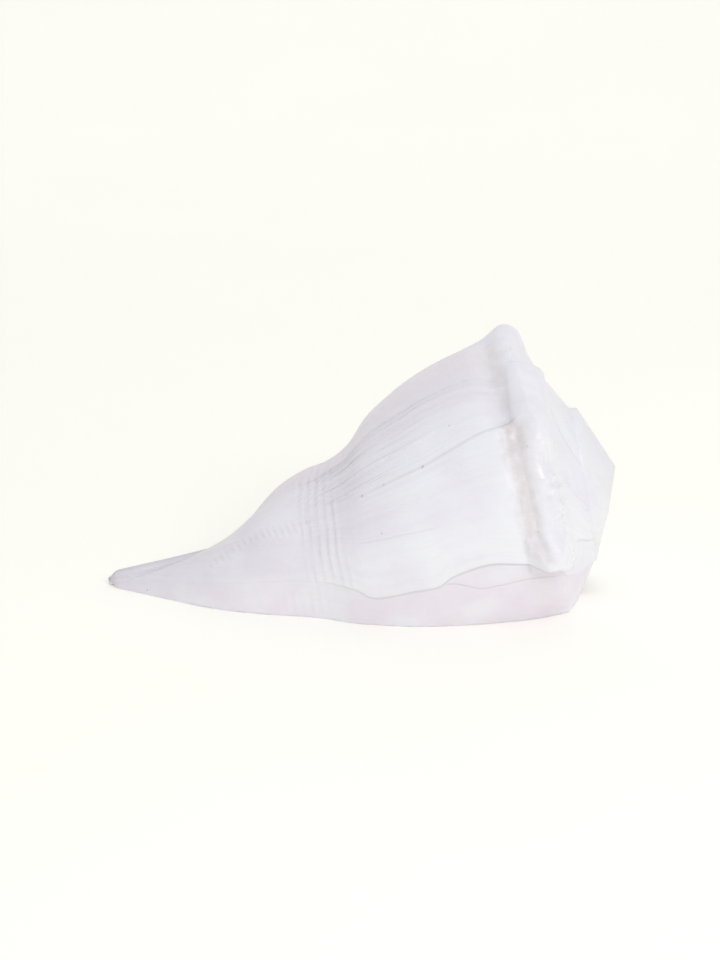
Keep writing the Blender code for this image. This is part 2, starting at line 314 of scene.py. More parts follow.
def shoulder_wear(s, angle):
    """Glossy nodules and wrinkles on the ridge, blisters in the furrow, a scalloped edge on the fold."""
    nodules = sum(
        height * hump(angle, where, width) * hump(s, at, 2.4 if s > at else 5.0)
        for where, width, at, height in NODULES
    )
    blisters = noise.noise(Vector((angle * 0.55, s * 0.62, 5.5)))
    blisters = blisters * band(angle, 50, 98, 3) * band(s, 32, 38, 1.5)
    scallops = 0.16 * math.cos(2 * math.pi * angle / SCALLOP_DEGREES)
    scallops = scallops * hump(s, 30.5, 1.6) * band(angle, 22, 48, 3)
    facets = noise.noise(Vector((angle * 0.16, s * 0.22, 8.1)))
    facets = facets * band(angle, -30, 100, 6) * hump(s, 27, 7)
    return nodules + 0.8 * blisters + scallops + 0.8 * facets


def crease_step(s, angle):
    """The line that runs from the fold's foot across the body: the side towards the lip is higher."""
    past = angle - along_curve(s, CREASE)
    high = (0.6 * hump(s, 32, 8) + 0.14) * eased(s, 29.5, 31.5) * (1 - eased(s, 80, 96))
    return high * (eased(past, -0.6, 0.3) * (1 - eased(past, 3, 20)) - 0.35 * hump(past, -1.8, 1.8))


def relief(s, angle):
    """Height of the last whorl's sculpture above its smooth form, and its push towards the canal."""
    out, lean = shoulder(s, angle)
    age = angle - lip_line(s) * 0.5
    for line, height, wide, start, end in OLD_LIPS:
        out += height * hump(age, line, wide) * band(s, start, end, 8)
    out += shoulder_wear(s, angle) + scar_step(s, angle) + crease_step(s, angle)
    layers = noise.noise(Vector((age * 0.16, s * 0.012, 7.7)))
    thin_layers = noise.noise(Vector((age * 0.45, s * 0.03, 1.2)))
    dents = noise.noise(Vector((age * 0.05, s * 0.06, 4.4)))
    out += 0.22 * (layers + 0.6 * thin_layers) * eased(s, 30, 42) + 0.35 * dents
    threads = math.cos(2 * math.pi * s / THREAD_SPACING) * band(s, 38, 72, 8) * band(angle, -60, 22, 8)
    return out + 0.06 * threads, lean


# The mesh: one sheet winds down from the apex, another is the last whorl from suture to canal, and the
# hollow behind the mouth is cut out of the closed form, as is what would reach below the surface.
FINENESS = 1.0

# Columns of the last whorl: first and last growth angle, and how many steps between them.
COLUMN_SPANS = (
    (-195.0, -75.0, 40), (-75.0, -33.0, 22), (-33.0, 50.0, 70), (50.0, 60.0, 16), (60.0, 98.0, 34),
    (98.0, 108.0, 18), (108.0, LIP_ANGLE, 46),
)
RAMP_ROWS = round(30 * FINENESS)
BODY_LENGTH = 164.0
BODY_STEPS = (
    (0.0, 0.75), (20.0, 0.85), (50.0, 1.15), (105.0, 1.5), (150.0, 2.3), (160.0, 0.8), (164.0, 0.6),
)


def last_whorl_angles():
    angles = []
    for start, end, steps in COLUMN_SPANS:
        steps = round(steps * FINENESS)
        angles += [start + (end - start) * n / steps for n in range(steps)]
    return angles + [LIP_ANGLE]


def spire_angles():
    """The last whorl's angles repeated up the spire, so that each whorl meets the next corner to corner."""
    turns = [[a - 360 * turn for a in last_whorl_angles()[:-1]] for turn in (4, 3, 2, 1)]
    return [a for turn in turns for a in turn if a >= APEX_ANGLE] + [LIP_ANGLE - 360]


def body_steps():
    """Distances below the shoulder, closer together where the sculpture is fine."""
    places = [0.0]
    while places[-1] < BODY_LENGTH:
        places.append(places[-1] + along_curve(places[-1], BODY_STEPS) / FINENESS)
    return [p * BODY_LENGTH / places[-1] for p in places]


# The rows crowd together at the apex, so that all within TIP_REACH of it become one point. Relief is
# lifted square to the slope, which is measured over SLOPE_ROWS rows to each side.
MARKS = ("growth", "ribs", "net", "beads", "hairlines")
SEAM_GAP = 1e-7
TIP_REACH = 0.15
TIP_ROUNDING = 5.5
SLOPE_ROWS = 4


def grid(bm, columns, rows, place):
    """A sheet of quads whose corners and growth coordinates place(column, row) gives."""
    made = bmesh.ops.create_grid(bm, x_segments=columns, y_segments=rows, size=1.0)
    sheet = sorted(made["verts"], key=lambda v: (round(v.co.x, 5), round(v.co.y, 5)))
    layers = [bm.loops.layers.uv.get(name) or bm.loops.layers.uv.new(name) for name in MARKS]
    where = {}
    for n, vertex in enumerate(sheet):
        vertex.co, where[vertex] = place(n // (rows + 1), n % (rows + 1))
    for face in {f for v in sheet for f in v.link_faces}:
        for loop in face.loops:
            for layer, mark in zip(layers, where[loop.vert]):
                loop[layer].uv = mark
    return [sheet[c * (rows + 1):(c + 1) * (rows + 1)] for c in range(columns + 1)]


def made_object(bm, name, material):
    """A closed mesh made into an object whose faces point outwards."""
    bmesh.ops.recalc_face_normals(bm, faces=bm.faces)
    if bm.calc_volume(signed=True) < 0:
        bmesh.ops.reverse_faces(bm, faces=bm.faces)
    bmesh.ops.triangulate(bm, faces=bm.faces)
    mesh = bpy.data.meshes.new(name)
    bm.to_mesh(mesh)
    bm.free()
    mesh.materials.append(material)
    made = bpy.data.objects.new(name, mesh)
    bpy.context.scene.collection.objects.link(made)
    return made


def along_lips(angle, s):
    """The column that starts at this growth angle bends at s to follow the former lips."""
    sway = lip_line(s)
    lips = (
        (-33.0, 0.0), (31.0, 0.5 * sway), (CREASE_ANGLE, along_curve(s, CREASE) - CREASE_ANGLE),
        (80.0, 0.5 * sway), (SCAR_ANGLE, sway), (118.0, 0.6 * sway), (LIP_ANGLE, 0.0),
    )
    for (a0, b0), (a1, b1) in zip(lips, lips[1:]):
        if a0 <= angle <= a1:
            return angle + b0 + (b1 - b0) * (angle - a0) / (a1 - a0)
    return angle


def growth_coordinates(s, angle, place=1.0):
    """Growth angle of the lip that laid a point down, and s, both in hundreds; lips slant on the ramp."""
    return [((angle - 50 * (1 - place)) / 100, s / 100)] + [(0.0, 0.0)] * (len(MARKS) - 1)


def smooth_profile(column, rows):
    """One column of the last whorl without its relief, from suture to tip, and its marks."""
    stop = along_curve(column, SUTURE_CLIMB)
    first = grown(column, SHOULDER_PLACE) + (stop - 1) * grown(column, SHOULDER_RADIUS)
    smooth, marks = [], []
    for row in range(RAMP_ROWS + 1):
        place = stop * row / RAMP_ROWS
        s = on_whorl(column, place)[0]
        angle = column + (along_lips(column, s) - column) * eased(place, 0.1, 0.9)
        smooth.append(on_whorl(angle, place) + (angle,))
        marks.append(growth_coordinates(s, column, min(place, 1.0))[:1] + rib_marks(s, angle))
    for down in rows[1:]:
        s = first + (LENGTH - first) * down / rows[-1]
        angle = along_lips(column, s)
        rounded = 1 - 0.8 * eased(s, LENGTH - TIP_ROUNDING, LENGTH) ** 2
        smooth.append(knobbed(s, body_radius(s, angle) * rounded, angle) + (angle,))
        marks.append(growth_coordinates(s, column)[:1] + rib_marks(s, angle))
    return smooth, marks


def whorl_profile(column, rows):
    """The same column with its relief: s, r and growth angle of each row, and its marks."""
    smooth, marks = smooth_profile(column, rows)
    placed = []
    for i, (s, r, angle) in enumerate(smooth):
        s0, r0, _ = smooth[max(i - SLOPE_ROWS, 0)]
        s1, r1, _ = smooth[min(i + SLOPE_ROWS, len(smooth) - 1)]
        long = math.hypot(s1 - s0, r1 - r0)
        out, lean = relief(s, angle)
        fade = eased(angle, *RELIEF_START) * eased(i / RAMP_ROWS, 0.12, 0.7)
        out, lean = out * fade, lean * fade
        placed.append((s - out * (r1 - r0) / long + lean, r + out * (s1 - s0) / long, angle))
    placed[-1] = (LENGTH,) + placed[-1][1:]
    return placed, marks


def outside(material):
    """The closed outer form; its whorls meet along one seam and start from one point."""
    bm = bmesh.new()
    early, late, rows = spire_angles(), last_whorl_angles(), body_steps()
    profiles = [whorl_profile(angle, rows) for angle in late]

    def spire_point(column, row):
        angle = early[column]
        place = along_curve(angle, SUTURE_CLIMB) * row / RAMP_ROWS
        s, r = on_whorl(angle, place)
        return in_frame(s, r, angle), growth_coordinates(s, angle, min(place, 1.0))

    def whorl_point(column, row):
        placed, marks = profiles[column]
        return in_frame(*placed[row]), marks[row]

    grid(bm, len(early) - 1, RAMP_ROWS, spire_point)
    whorl = grid(bm, len(late) - 1, len(profiles[0][0]) - 1, whorl_point)
    bm.faces.new([column[-1] for column in whorl])
    bm.faces.new(whorl[-1] + whorl[0][:RAMP_ROWS - 1:-1])
    bmesh.ops.remove_doubles(bm, verts=bm.verts, dist=SEAM_GAP)
    tip = [v for v in bm.verts if (v.co - APEX).length < TIP_REACH * MM]
    bmesh.ops.pointmerge(bm, verts=tip, merge_co=APEX)
    bmesh.ops.holes_fill(bm, edges=[e for e in bm.edges if e.is_boundary], sides=0)
    return made_object(bm, "conch_shell", material)


# The hollow runs between two growth angles, and is cut where it is at least NARROWEST wide.
HOLLOW_START = -195.0
HOLLOW_END = 167.0
NARROWEST = 0.8
BEYOND_TIP = 12


def outer_radius(s, angle):
    top, wide = grown(angle, SHOULDER_PLACE), grown(angle, SHOULDER_RADIUS)
    if s >= top:
        return body_radius(s, angle)
    s0, r0 = suture(angle)
    return r0 + (wide - r0) * max(s - s0, 0.0) / (top - s0)


def hollow_edge(s, angle):
    """Outer and inner radius of the hollow: the wall is thinner round the canal and under furrows."""
    steep = outer_radius(s + 0.5, angle) - outer_radius(s - 0.5, angle)
    wall = (WALL + (CANAL_WALL - WALL) * eased(s, 95.0, 150.0)) * math.hypot(1, steep)
    sunk = min(shoulder(s, angle)[0], 0.0) * eased(angle, *RELIEF_START)
    outer = outer_radius(s, angle) - wall + sunk
    inner = max(outer_radius(s, angle - 360), along_curve(s, COLUMELLA_RADIUS)) + GLAZE
    return outer, inner


def hollow_span(angle):
    """The first and last s, by whole millimetres, where the hollow is wide enough to cut."""
    first = suture(angle)[0] + 0.6 * WALL
    steps = [first + n for n in range(int(LENGTH + BEYOND_TIP - first))]
    open_there = [s for s in steps if hollow_edge(s, angle)[0] - hollow_edge(s, angle)[1] > NARROWEST]
    return open_there[0], open_there[-1]


def hollow(material):
    """The winding hollow behind the mouth as a closed tube, to be cut away."""
    bm = bmesh.new()
    columns, rows = ((122, 56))
    step = (HOLLOW_END - HOLLOW_START) / columns
    spans = [hollow_span(HOLLOW_START + c * step) for c in range(columns + 1)]

    def place(column, row):
        angle = HOLLOW_START + column * step
        low, high = spans[column]
        across = row if row <= rows else 2 * rows + 1 - row
        s = low + (high - low) * across / rows
        outer, inner = hollow_edge(s, angle)
        return in_frame(s, outer if row <= rows else inner, angle), growth_coordinates(s, angle)

    tube = grid(bm, columns, 2 * rows + 1, place)
    for one, two in zip(tube, tube[1:]):
        bm.faces.new((one[0], two[0], two[-1], one[-1]))
    bm.faces.new(tube[0])
    bm.faces.new(tube[-1])
    return made_object(bm, "hollow", material)


def below_surface(material):
    """A block whose top is the surface that the shell lies on."""
    side = 0.5
    bm = bmesh.new()
    bmesh.ops.create_cube(bm, size=side)
    bmesh.ops.translate(bm, verts=bm.verts, vec=(0, 0, -side / 2))
    return made_object(bm, "below_surface", material)


def cut(body, tool):
    """Cut the tool away for good; the new faces keep the tool's material."""
    step = body.modifiers.new(tool.name, "BOOLEAN")
    step.operation = "DIFFERENCE"
    step.solver = "EXACT"
    step.material_mode = "TRANSFER"
    step.object = tool
    seen = body.evaluated_get(bpy.context.evaluated_depsgraph_get())
    mesh = bpy.data.meshes.new_from_object(seen)
    body.modifiers.clear()
    body.data = mesh
    bpy.data.objects.remove(tool)


# The finishes. Outside, a calcite shell bleached pale lilac white by sun and water: satin, a little
# light sinks in, and fine lines of growth with faint mauve, beige and pinkish tints run across it; the beige
# and pinkish ones also carry painted shade, and thin lines of painted shadow follow its steps and cracks.
# Inside, the same lime laid down smooth as porcelain, warmer and glossier.
def hex_colour(text):
    """A linear colour with alpha from an sRGB hex value."""
    shares = [int(text[i:i + 2], 16) / 255 for i in (0, 2, 4)]
    return tuple(c / 12.92 if c <= 0.04045 else ((c + 0.055) / 1.055) ** 2.4 for c in shares) + (1.0,)


def add_node(tree, kind, settings=None, links=None):
    """A node with its settings and its inputs, each a value or another node's output."""
    made = tree.nodes.new(kind)
    for name, value in (settings or {}).items():
        setattr(made, name, value)
    for name, value in (links or {}).items():
        if isinstance(value, bpy.types.NodeSocket):
            tree.links.new(value, made.inputs[name])
        else:
            made.inputs[name].default_value = value
    return made


def new_material(name):
    """A material with its node tree and its surface shader."""
    made = bpy.data.materials.new(name)
    made.use_nodes = True
    return made, made.node_tree, made.node_tree.nodes["Principled BSDF"]


def set_stops(ramp, stops):
    """Grey stops of a colour ramp: position and value."""
    while len(ramp.color_ramp.elements) < len(stops):
        ramp.color_ramp.elements.new(0.5)
    for element, (position, value) in zip(ramp.color_ramp.elements, stops):
        element.position = position
        element.color = (value, value, value, 1.0)


outside_lime, tree, surface = new_material("sun-bleached calcite, satin")
surface.inputs["IOR"].default_value = 1.52
surface.inputs["Subsurface Weight"].default_value = 0.10
surface.inputs["Subsurface Scale"].default_value = 0.003
surface.inputs["Subsurface Radius"].default_value = (1.0, 0.8, 0.75)
surface.inputs["Coat Weight"].default_value = 0.12
surface.inputs["Coat Roughness"].default_value = 0.22
growth_map = add_node(tree, "ShaderNodeUVMap", {"uv_map": "growth"})
growth = add_node(tree, "ShaderNodeSeparateXYZ", links={"Vector": growth_map.outputs["UV"]})
place = add_node(tree, "ShaderNodeTexCoord")

# Growth lines: 0.8 mm apart on the body, which is 0.9 degrees or 0.009 of growth, and 30 mm long.
fine_scale = add_node(tree, "ShaderNodeMapping", links={
    "Vector": growth_map.outputs["UV"], "Scale": (110.0, 3.4, 1.0)})
fine_lines = add_node(tree, "ShaderNodeTexNoise", links={
    "Vector": fine_scale.outputs["Vector"], "Scale": 1.0, "Detail": 3.0, "Roughness": 0.6})
broad_scale = add_node(tree, "ShaderNodeMapping", links={
    "Vector": growth_map.outputs["UV"], "Scale": (18.0, 1.6, 1.0)})
broad_lines = add_node(tree, "ShaderNodeTexNoise", links={
    "Vector": broad_scale.outputs["Vector"], "Scale": 1.0, "Detail": 4.0, "Roughness": 0.55})

# Chalky clouds 12 to 30 mm wide, where the bleaching went deeper or less deep.
clouds = add_node(tree, "ShaderNodeTexNoise", links={
    "Vector": place.outputs["Object"], "Scale": 42.0, "Detail": 3.0, "Roughness": 0.5})
lilac = add_node(tree, "ShaderNodeMapRange", {"interpolation_type": "SMOOTHSTEP"}, {
    "Value": clouds.outputs["Fac"], "From Min": 0.36, "From Max": 0.68})
ground = add_node(tree, "ShaderNodeMix", {"data_type": "RGBA"}, {
    "Factor": lilac.outputs["Result"], "A": hex_colour("F1F2F9"), "B": hex_colour("ECEBF4")})
streaked = add_node(tree, "ShaderNodeMapRange", {"interpolation_type": "SMOOTHSTEP"}, {
    "Value": broad_lines.outputs["Fac"], "From Min": 0.48, "From Max": 0.74, "To Max": 0.30})
streaks = add_node(tree, "ShaderNodeMix", {"data_type": "RGBA"}, {
    "Factor": streaked.outputs["Result"], "A": ground.outputs["Result"], "B": hex_colour("E3DFE9")})
old_layer = add_node(tree, "ShaderNodeMapRange", {"interpolation_type": "SMOOTHSTEP"}, {
    "Value": growth.outputs["X"], "From Min": 0.52, "From Max": 0.15, "To Max": 0.75})
body_part = add_node(tree, "ShaderNodeMapRange", {"interpolation_type": "SMOOTHSTEP"}, {
    "Value": growth.outputs["Y"], "From Min": 0.30, "From Max": 0.44})
mauve_amount = add_node(tree, "ShaderNodeMath", {"operation": "MULTIPLY"}, {
    0: old_layer.outputs["Result"], 1: body_part.outputs["Result"]})
mauve = add_node(tree, "ShaderNodeMix", {"data_type": "RGBA"}, {
    "Factor": mauve_amount.outputs["Value"], "A": streaks.outputs["Result"], "B": hex_colour("EAE3ED")})

# A pinkish tint comes through towards the canal and by the lip, where the shell is thinner; it is darker
# than the ground too, painting in the shade on these lower faces.
pink_shade_along = add_node(tree, "ShaderNodeMapRange", {"interpolation_type": "SMOOTHSTEP"}, {
    "Value": growth.outputs["Y"], "From Min": 0.75, "From Max": 1.25, "To Max": 0.55})
pink_shade_lip = add_node(tree, "ShaderNodeMapRange", {"interpolation_type": "SMOOTHSTEP"}, {
    "Value": growth.outputs["X"], "From Min": 1.025, "From Max": 1.05, "To Max": 0.9})
pink_and_shade = add_node(tree, "ShaderNodeMath", {"operation": "MAXIMUM"}, {
    0: pink_shade_along.outputs["Result"], 1: pink_shade_lip.outputs["Result"]})
pink_shade_clouds = add_node(tree, "ShaderNodeMapRange", None, {
    "Value": clouds.outputs["Fac"], "From Min": 0.40, "From Max": 0.62, "To Min": 0.35, "To Max": 0.9})
pink_and_shade_patchy = add_node(tree, "ShaderNodeMath", {"operation": "MULTIPLY"}, {
    0: pink_and_shade.outputs["Value"], 1: pink_shade_clouds.outputs["Result"]})
# Pinkish tint that also paints shade on the lower faces by the canal and the lip.
pinkish_and_shaded = add_node(tree, "ShaderNodeMix", {"data_type": "RGBA"}, {
    "Factor": pink_and_shade_patchy.outputs["Value"], "A": mauve.outputs["Result"], "B": hex_colour("E9E1EC")})

# Beige grime in the furrow beside the ridge, darkened further as painted shade in that groove, and painted
# shade in the hollow under the rolled fold: one patchy beige-grey mix.
furrow_ragged = add_node(tree, "ShaderNodeTexNoise", links={
    "Vector": place.outputs["Object"], "Scale": 120.0, "Detail": 3.0, "Roughness": 0.6})
furrow_edge = add_node(tree, "ShaderNodeMath", {"operation": "MULTIPLY_ADD"}, {
    0: furrow_ragged.outputs["Fac"], 1: 0.04, 2: growth.outputs["Y"]})
furrow_across = add_node(tree, "ShaderNodeValToRGB", links={"Fac": furrow_edge.outputs["Value"]})
set_stops(furrow_across, ((0.310, 0.0), (0.345, 0.9), (0.375, 1.0), (0.415, 0.0)))
furrow_along = add_node(tree, "ShaderNodeValToRGB", links={"Fac": growth.outputs["X"]})
set_stops(furrow_along, ((0.50, 0.0), (0.56, 1.0), (0.98, 0.8), (1.0, 0.3)))
hollow_across = add_node(tree, "ShaderNodeValToRGB", links={"Fac": growth.outputs["Y"]})
set_stops(hollow_across, ((0.29, 0.0), (0.33, 1.0), (0.37, 0.8), (0.44, 0.0)))
hollow_along = add_node(tree, "ShaderNodeMapRange", {"interpolation_type": "SMOOTHSTEP"}, {
    "Value": growth.outputs["X"], "From Min": 0.54, "From Max": 0.40})
hollow_start = add_node(tree, "ShaderNodeMapRange", {"interpolation_type": "SMOOTHSTEP"}, {
    "Value": growth.outputs["X"], "From Min": -0.08, "From Max": 0.12})
furrow_grime_and_shade = add_node(tree, "ShaderNodeMath", {"operation": "MULTIPLY"}, {
    0: furrow_across.outputs["Color"], 1: furrow_along.outputs["Color"]})
hollow_ends = add_node(tree, "ShaderNodeMath", {"operation": "MULTIPLY"}, {
    0: hollow_along.outputs["Result"], 1: hollow_start.outputs["Result"]})
# Painted shade in the hollow under the rolled fold.
hollow_painted_shade_mask = add_node(tree, "ShaderNodeMath", {"operation": "MULTIPLY"}, {
    0: hollow_across.outputs["Color"], 1: hollow_ends.outputs["Value"]})
hollow_painted_shade = add_node(tree, "ShaderNodeMath", {"operation": "MULTIPLY"}, {
    0: hollow_painted_shade_mask.outputs["Value"], 1: 0.6})
patch_noise = add_node(tree, "ShaderNodeTexNoise", links={
    "Vector": place.outputs["Object"], "Scale": 320.0, "Detail": 4.0, "Roughness": 0.6})
grime_and_shade_patches = add_node(tree, "ShaderNodeMapRange", None, {
    "Value": patch_noise.outputs["Fac"], "From Min": 0.30, "From Max": 0.66, "To Min": 0.45, "To Max": 0.95})
grime_and_shade = add_node(tree, "ShaderNodeMath", {"operation": "MAXIMUM"}, {
    0: furrow_grime_and_shade.outputs["Value"], 1: hollow_painted_shade.outputs["Value"]})
grime_and_shade_amount = add_node(tree, "ShaderNodeMath", {"operation": "MULTIPLY"}, {
    0: grime_and_shade.outputs["Value"], 1: grime_and_shade_patches.outputs["Result"]})
# Beige-grey mix: grime and painted shade in the furrow, painted shade in the hollow.
grimy_and_shaded = add_node(tree, "ShaderNodeMix", {"data_type": "RGBA"}, {
    "Factor": grime_and_shade_amount.outputs["Value"], "A": pinkish_and_shaded.outputs["Result"], "B": hex_colour("DDD6D8")})

# Thin dark lines of painted shadow under the crease's edge, under the healed break and in the fine
# cracks. A ramp's stops lie between 0 and 1, so the break's values come to it shifted and halved.
crease_line = add_node(tree, "ShaderNodeValToRGB", links={"Fac": growth.outputs["X"]})
set_stops(crease_line, ((0.538, 0.0), (0.544, 0.8), (0.548, 0.8), (0.553, 0.0)))
crease_part = add_node(tree, "ShaderNodeValToRGB", links={"Fac": growth.outputs["Y"]})
set_stops(crease_part, ((0.30, 0.0), (0.33, 1.0), (0.42, 0.5), (0.80, 0.45), (0.95, 0.0)))
break_shift = add_node(tree, "ShaderNodeMath", {"operation": "SUBTRACT"}, {0: growth.outputs["X"], 1: 0.5})
break_line = add_node(tree, "ShaderNodeValToRGB", links={"Fac": break_shift.outputs["Value"]})
set_stops(break_line, ((0.526, 0.0), (0.530, 0.9), (0.534, 0.9), (0.541, 0.0)))
break_reach = add_node(tree, "ShaderNodeMath", {"operation": "MULTIPLY"}, {0: growth.outputs["Y"], 1: 0.5})
break_part = add_node(tree, "ShaderNodeValToRGB", links={"Fac": break_reach.outputs["Value"]})
set_stops(break_part, ((0.11, 0.0), (0.15, 1.0), (0.48, 0.8), (0.56, 0.15), (0.74, 0.15), (0.82, 0.0)))
crease_shadow_line = add_node(tree, "ShaderNodeMath", {"operation": "MULTIPLY"}, {
    0: crease_line.outputs["Color"], 1: crease_part.outputs["Color"]})
break_shadow_line = add_node(tree, "ShaderNodeMath", {"operation": "MULTIPLY"}, {
    0: break_line.outputs["Color"], 1: break_part.outputs["Color"]})
hair_map = add_node(tree, "ShaderNodeUVMap", {"uv_map": "hairlines"})
hair_parts = add_node(tree, "ShaderNodeSeparateXYZ", links={"Vector": hair_map.outputs["UV"]})
hair_distance = add_node(tree, "ShaderNodeMath", {"operation": "ABSOLUTE"}, {0: hair_parts.outputs["X"]})
hair_line = add_node(tree, "ShaderNodeMapRange", {"interpolation_type": "SMOOTHSTEP"}, {
    "Value": hair_distance.outputs["Value"], "From Min": 0.045, "From Max": 0.0})
hair_depth = add_node(tree, "ShaderNodeMath", {"operation": "MULTIPLY"}, {
    0: hair_line.outputs["Result"], 1: hair_parts.outputs["Y"]})
hair_shadow_line = add_node(tree, "ShaderNodeMath", {"operation": "MULTIPLY"}, {
    0: hair_depth.outputs["Value"], 1: 0.45})
step_shadow_lines = add_node(tree, "ShaderNodeMath", {"operation": "MAXIMUM"}, {
    0: crease_shadow_line.outputs["Value"], 1: break_shadow_line.outputs["Value"]})
painted_shadow_lines = add_node(tree, "ShaderNodeMath", {"operation": "MAXIMUM"}, {
    0: step_shadow_lines.outputs["Value"], 1: hair_shadow_line.outputs["Value"]})
painted_shadow_amount = add_node(tree, "ShaderNodeMath", {"operation": "MULTIPLY"}, {
    0: painted_shadow_lines.outputs["Value"], 1: 0.50})
# Painted shadow lines, mixed in dark greyish brown.
lined = add_node(tree, "ShaderNodeMix", {"data_type": "RGBA"}, {
    "Factor": painted_shadow_amount.outputs["Value"], "A": grimy_and_shaded.outputs["Result"], "B": hex_colour("B3A8A6")})

# Three dark pits 1.2 mm long sit on the crease.
pit_row = add_node(tree, "ShaderNodeValToRGB", links={"Fac": growth.outputs["Y"]})
set_stops(pit_row, (
    (0.657, 0.0), (0.663, 1.0), (0.669, 0.0), (0.805, 0.0), (0.809, 0.7), (0.813, 0.0),
    (0.886, 0.0), (0.892, 0.9), (0.898, 0.0)))
pit_width = add_node(tree, "ShaderNodeValToRGB", links={"Fac": growth.outputs["X"]})
set_stops(pit_width, ((0.540, 0.0), (0.545, 1.0), (0.548, 1.0), (0.553, 0.0)))
crease_pits = add_node(tree, "ShaderNodeMath", {"operation": "MULTIPLY"}, {
    0: pit_row.outputs["Color"], 1: pit_width.outputs["Color"]})
crease_pits_amount = add_node(tree, "ShaderNodeMath", {"operation": "MULTIPLY"}, {
    0: crease_pits.outputs["Value"], 1: 0.6})
dotted = add_node(tree, "ShaderNodeMix", {"data_type": "RGBA"}, {
    "Factor": crease_pits_amount.outputs["Value"], "A": lined.outputs["Result"], "B": hex_colour("6F6561")})

# Pin-point pits 0.6 mm across, left by boring sponges: few on the body, many in the furrow.
pit_scale = add_node(tree, "ShaderNodeMapping", links={
    "Vector": place.outputs["Object"], "Scale": (260.0, 260.0, 260.0)})
pits = add_node(tree, "ShaderNodeTexVoronoi", {"feature": "F1"}, {
    "Vector": pit_scale.outputs["Vector"], "Scale": 1.0})
pit_round = add_node(tree, "ShaderNodeMapRange", {"interpolation_type": "SMOOTHSTEP"}, {
    "Value": pits.outputs["Distance"], "From Min": 0.13, "From Max": 0.05})
pit_pick = add_node(tree, "ShaderNodeSeparateColor", links={"Color": pits.outputs["Color"]})
pit_limit = add_node(tree, "ShaderNodeMath", {"operation": "MULTIPLY_ADD"}, {
    0: furrow_grime_and_shade.outputs["Value"], 1: -0.30, 2: 0.985})
pit_here = add_node(tree, "ShaderNodeMath", {"operation": "GREATER_THAN"}, {
    0: pit_pick.outputs["Red"], 1: pit_limit.outputs["Value"]})
pit = add_node(tree, "ShaderNodeMath", {"operation": "MULTIPLY"}, {
    0: pit_here.outputs["Value"], 1: pit_round.outputs["Result"]})
pit_amount = add_node(tree, "ShaderNodeMath", {"operation": "MULTIPLY"}, {0: pit.outputs["Value"], 1: 0.4})
pitted = add_node(tree, "ShaderNodeMix", {"data_type": "RGBA"}, {
    "Factor": pit_amount.outputs["Value"], "A": dotted.outputs["Result"], "B": hex_colour("8E8480")})
tree.links.new(pitted.outputs["Result"], surface.inputs["Base Color"])

# Satin all over, uneven along the broad lines, duller under the furrow's grime and the painted shade of the
# hollow, and worn glossy on the ridge.
gloss = add_node(tree, "ShaderNodeMapRange", None, {
    "Value": broad_lines.outputs["Fac"], "From Min": 0.3, "From Max": 0.7, "To Min": 0.34, "To Max": 0.50})
rough = add_node(tree, "ShaderNodeMath", {"operation": "MULTIPLY_ADD"}, {
    0: grime_and_shade_amount.outputs["Value"], 1: 0.2, 2: gloss.outputs["Result"]})
worn_across = add_node(tree, "ShaderNodeValToRGB", links={"Fac": growth.outputs["Y"]})
set_stops(worn_across, ((0.22, 0.0), (0.25, 1.0), (0.285, 1.0), (0.31, 0.0)))
worn_along = add_node(tree, "ShaderNodeValToRGB", links={"Fac": growth.outputs["X"]})
set_stops(worn_along, ((0.50, 0.0), (0.60, 1.0), (0.94, 1.0), (0.98, 0.0)))
worn = add_node(tree, "ShaderNodeMath", {"operation": "MULTIPLY"}, {
    0: worn_across.outputs["Color"], 1: worn_along.outputs["Color"]})
polished = add_node(tree, "ShaderNodeMath", {"operation": "MULTIPLY_ADD"}, {
    0: worn.outputs["Value"], 1: -0.2, 2: rough.outputs["Value"]})
tree.links.new(polished.outputs["Value"], surface.inputs["Roughness"])

# Between the strongest old lips and the crease the growth lines crowd into a fan and stand higher.
fan_age = add_node(tree, "ShaderNodeValToRGB", links={"Fac": growth.outputs["X"]})
set_stops(fan_age, ((0.22, 0.0), (0.27, 1.0), (0.52, 0.8), (0.56, 0.0)))
fan_half = add_node(tree, "ShaderNodeMath", {"operation": "MULTIPLY"}, {0: growth.outputs["Y"], 1: 0.5})
fan_reach = add_node(tree, "ShaderNodeValToRGB", links={"Fac": fan_half.outputs["Value"]})
set_stops(fan_reach, ((0.22, 0.0), (0.34, 0.6), (0.42, 1.0), (0.50, 1.0), (0.53, 0.0)))
fan = add_node(tree, "ShaderNodeMath", {"operation": "MULTIPLY"}, {
    0: fan_age.outputs["Color"], 1: fan_reach.outputs["Color"]})
fan_scale = add_node(tree, "ShaderNodeMapping", links={
    "Vector": growth_map.outputs["UV"], "Scale": (40.0, 1.2, 1.0)})
fan_lines = add_node(tree, "ShaderNodeTexNoise", links={
    "Vector": fan_scale.outputs["Vector"], "Scale": 1.0, "Detail": 2.0, "Roughness": 0.7})
fan_crests = add_node(tree, "ShaderNodeMapRange", {"interpolation_type": "SMOOTHSTEP"}, {
    "Value": fan_lines.outputs["Fac"], "From Min": 0.46, "From Max": 0.66, "To Max": 1.3})
fan_height = add_node(tree, "ShaderNodeMath", {"operation": "MULTIPLY"}, {
    0: fan.outputs["Value"], 1: fan_crests.outputs["Result"]})
fine_height = add_node(tree, "ShaderNodeMath", {"operation": "MULTIPLY_ADD"}, {
    0: fine_lines.outputs["Fac"], 1: 0.5, 2: fan_height.outputs["Value"]})
hair_height = add_node(tree, "ShaderNodeMath", {"operation": "MULTIPLY_ADD"}, {
    0: hair_depth.outputs["Value"], 1: -0.6, 2: broad_lines.outputs["Fac"]})
lines_height = add_node(tree, "ShaderNodeMath", {"operation": "ADD"}, {
    0: fine_height.outputs["Value"], 1: hair_height.outputs["Value"]})
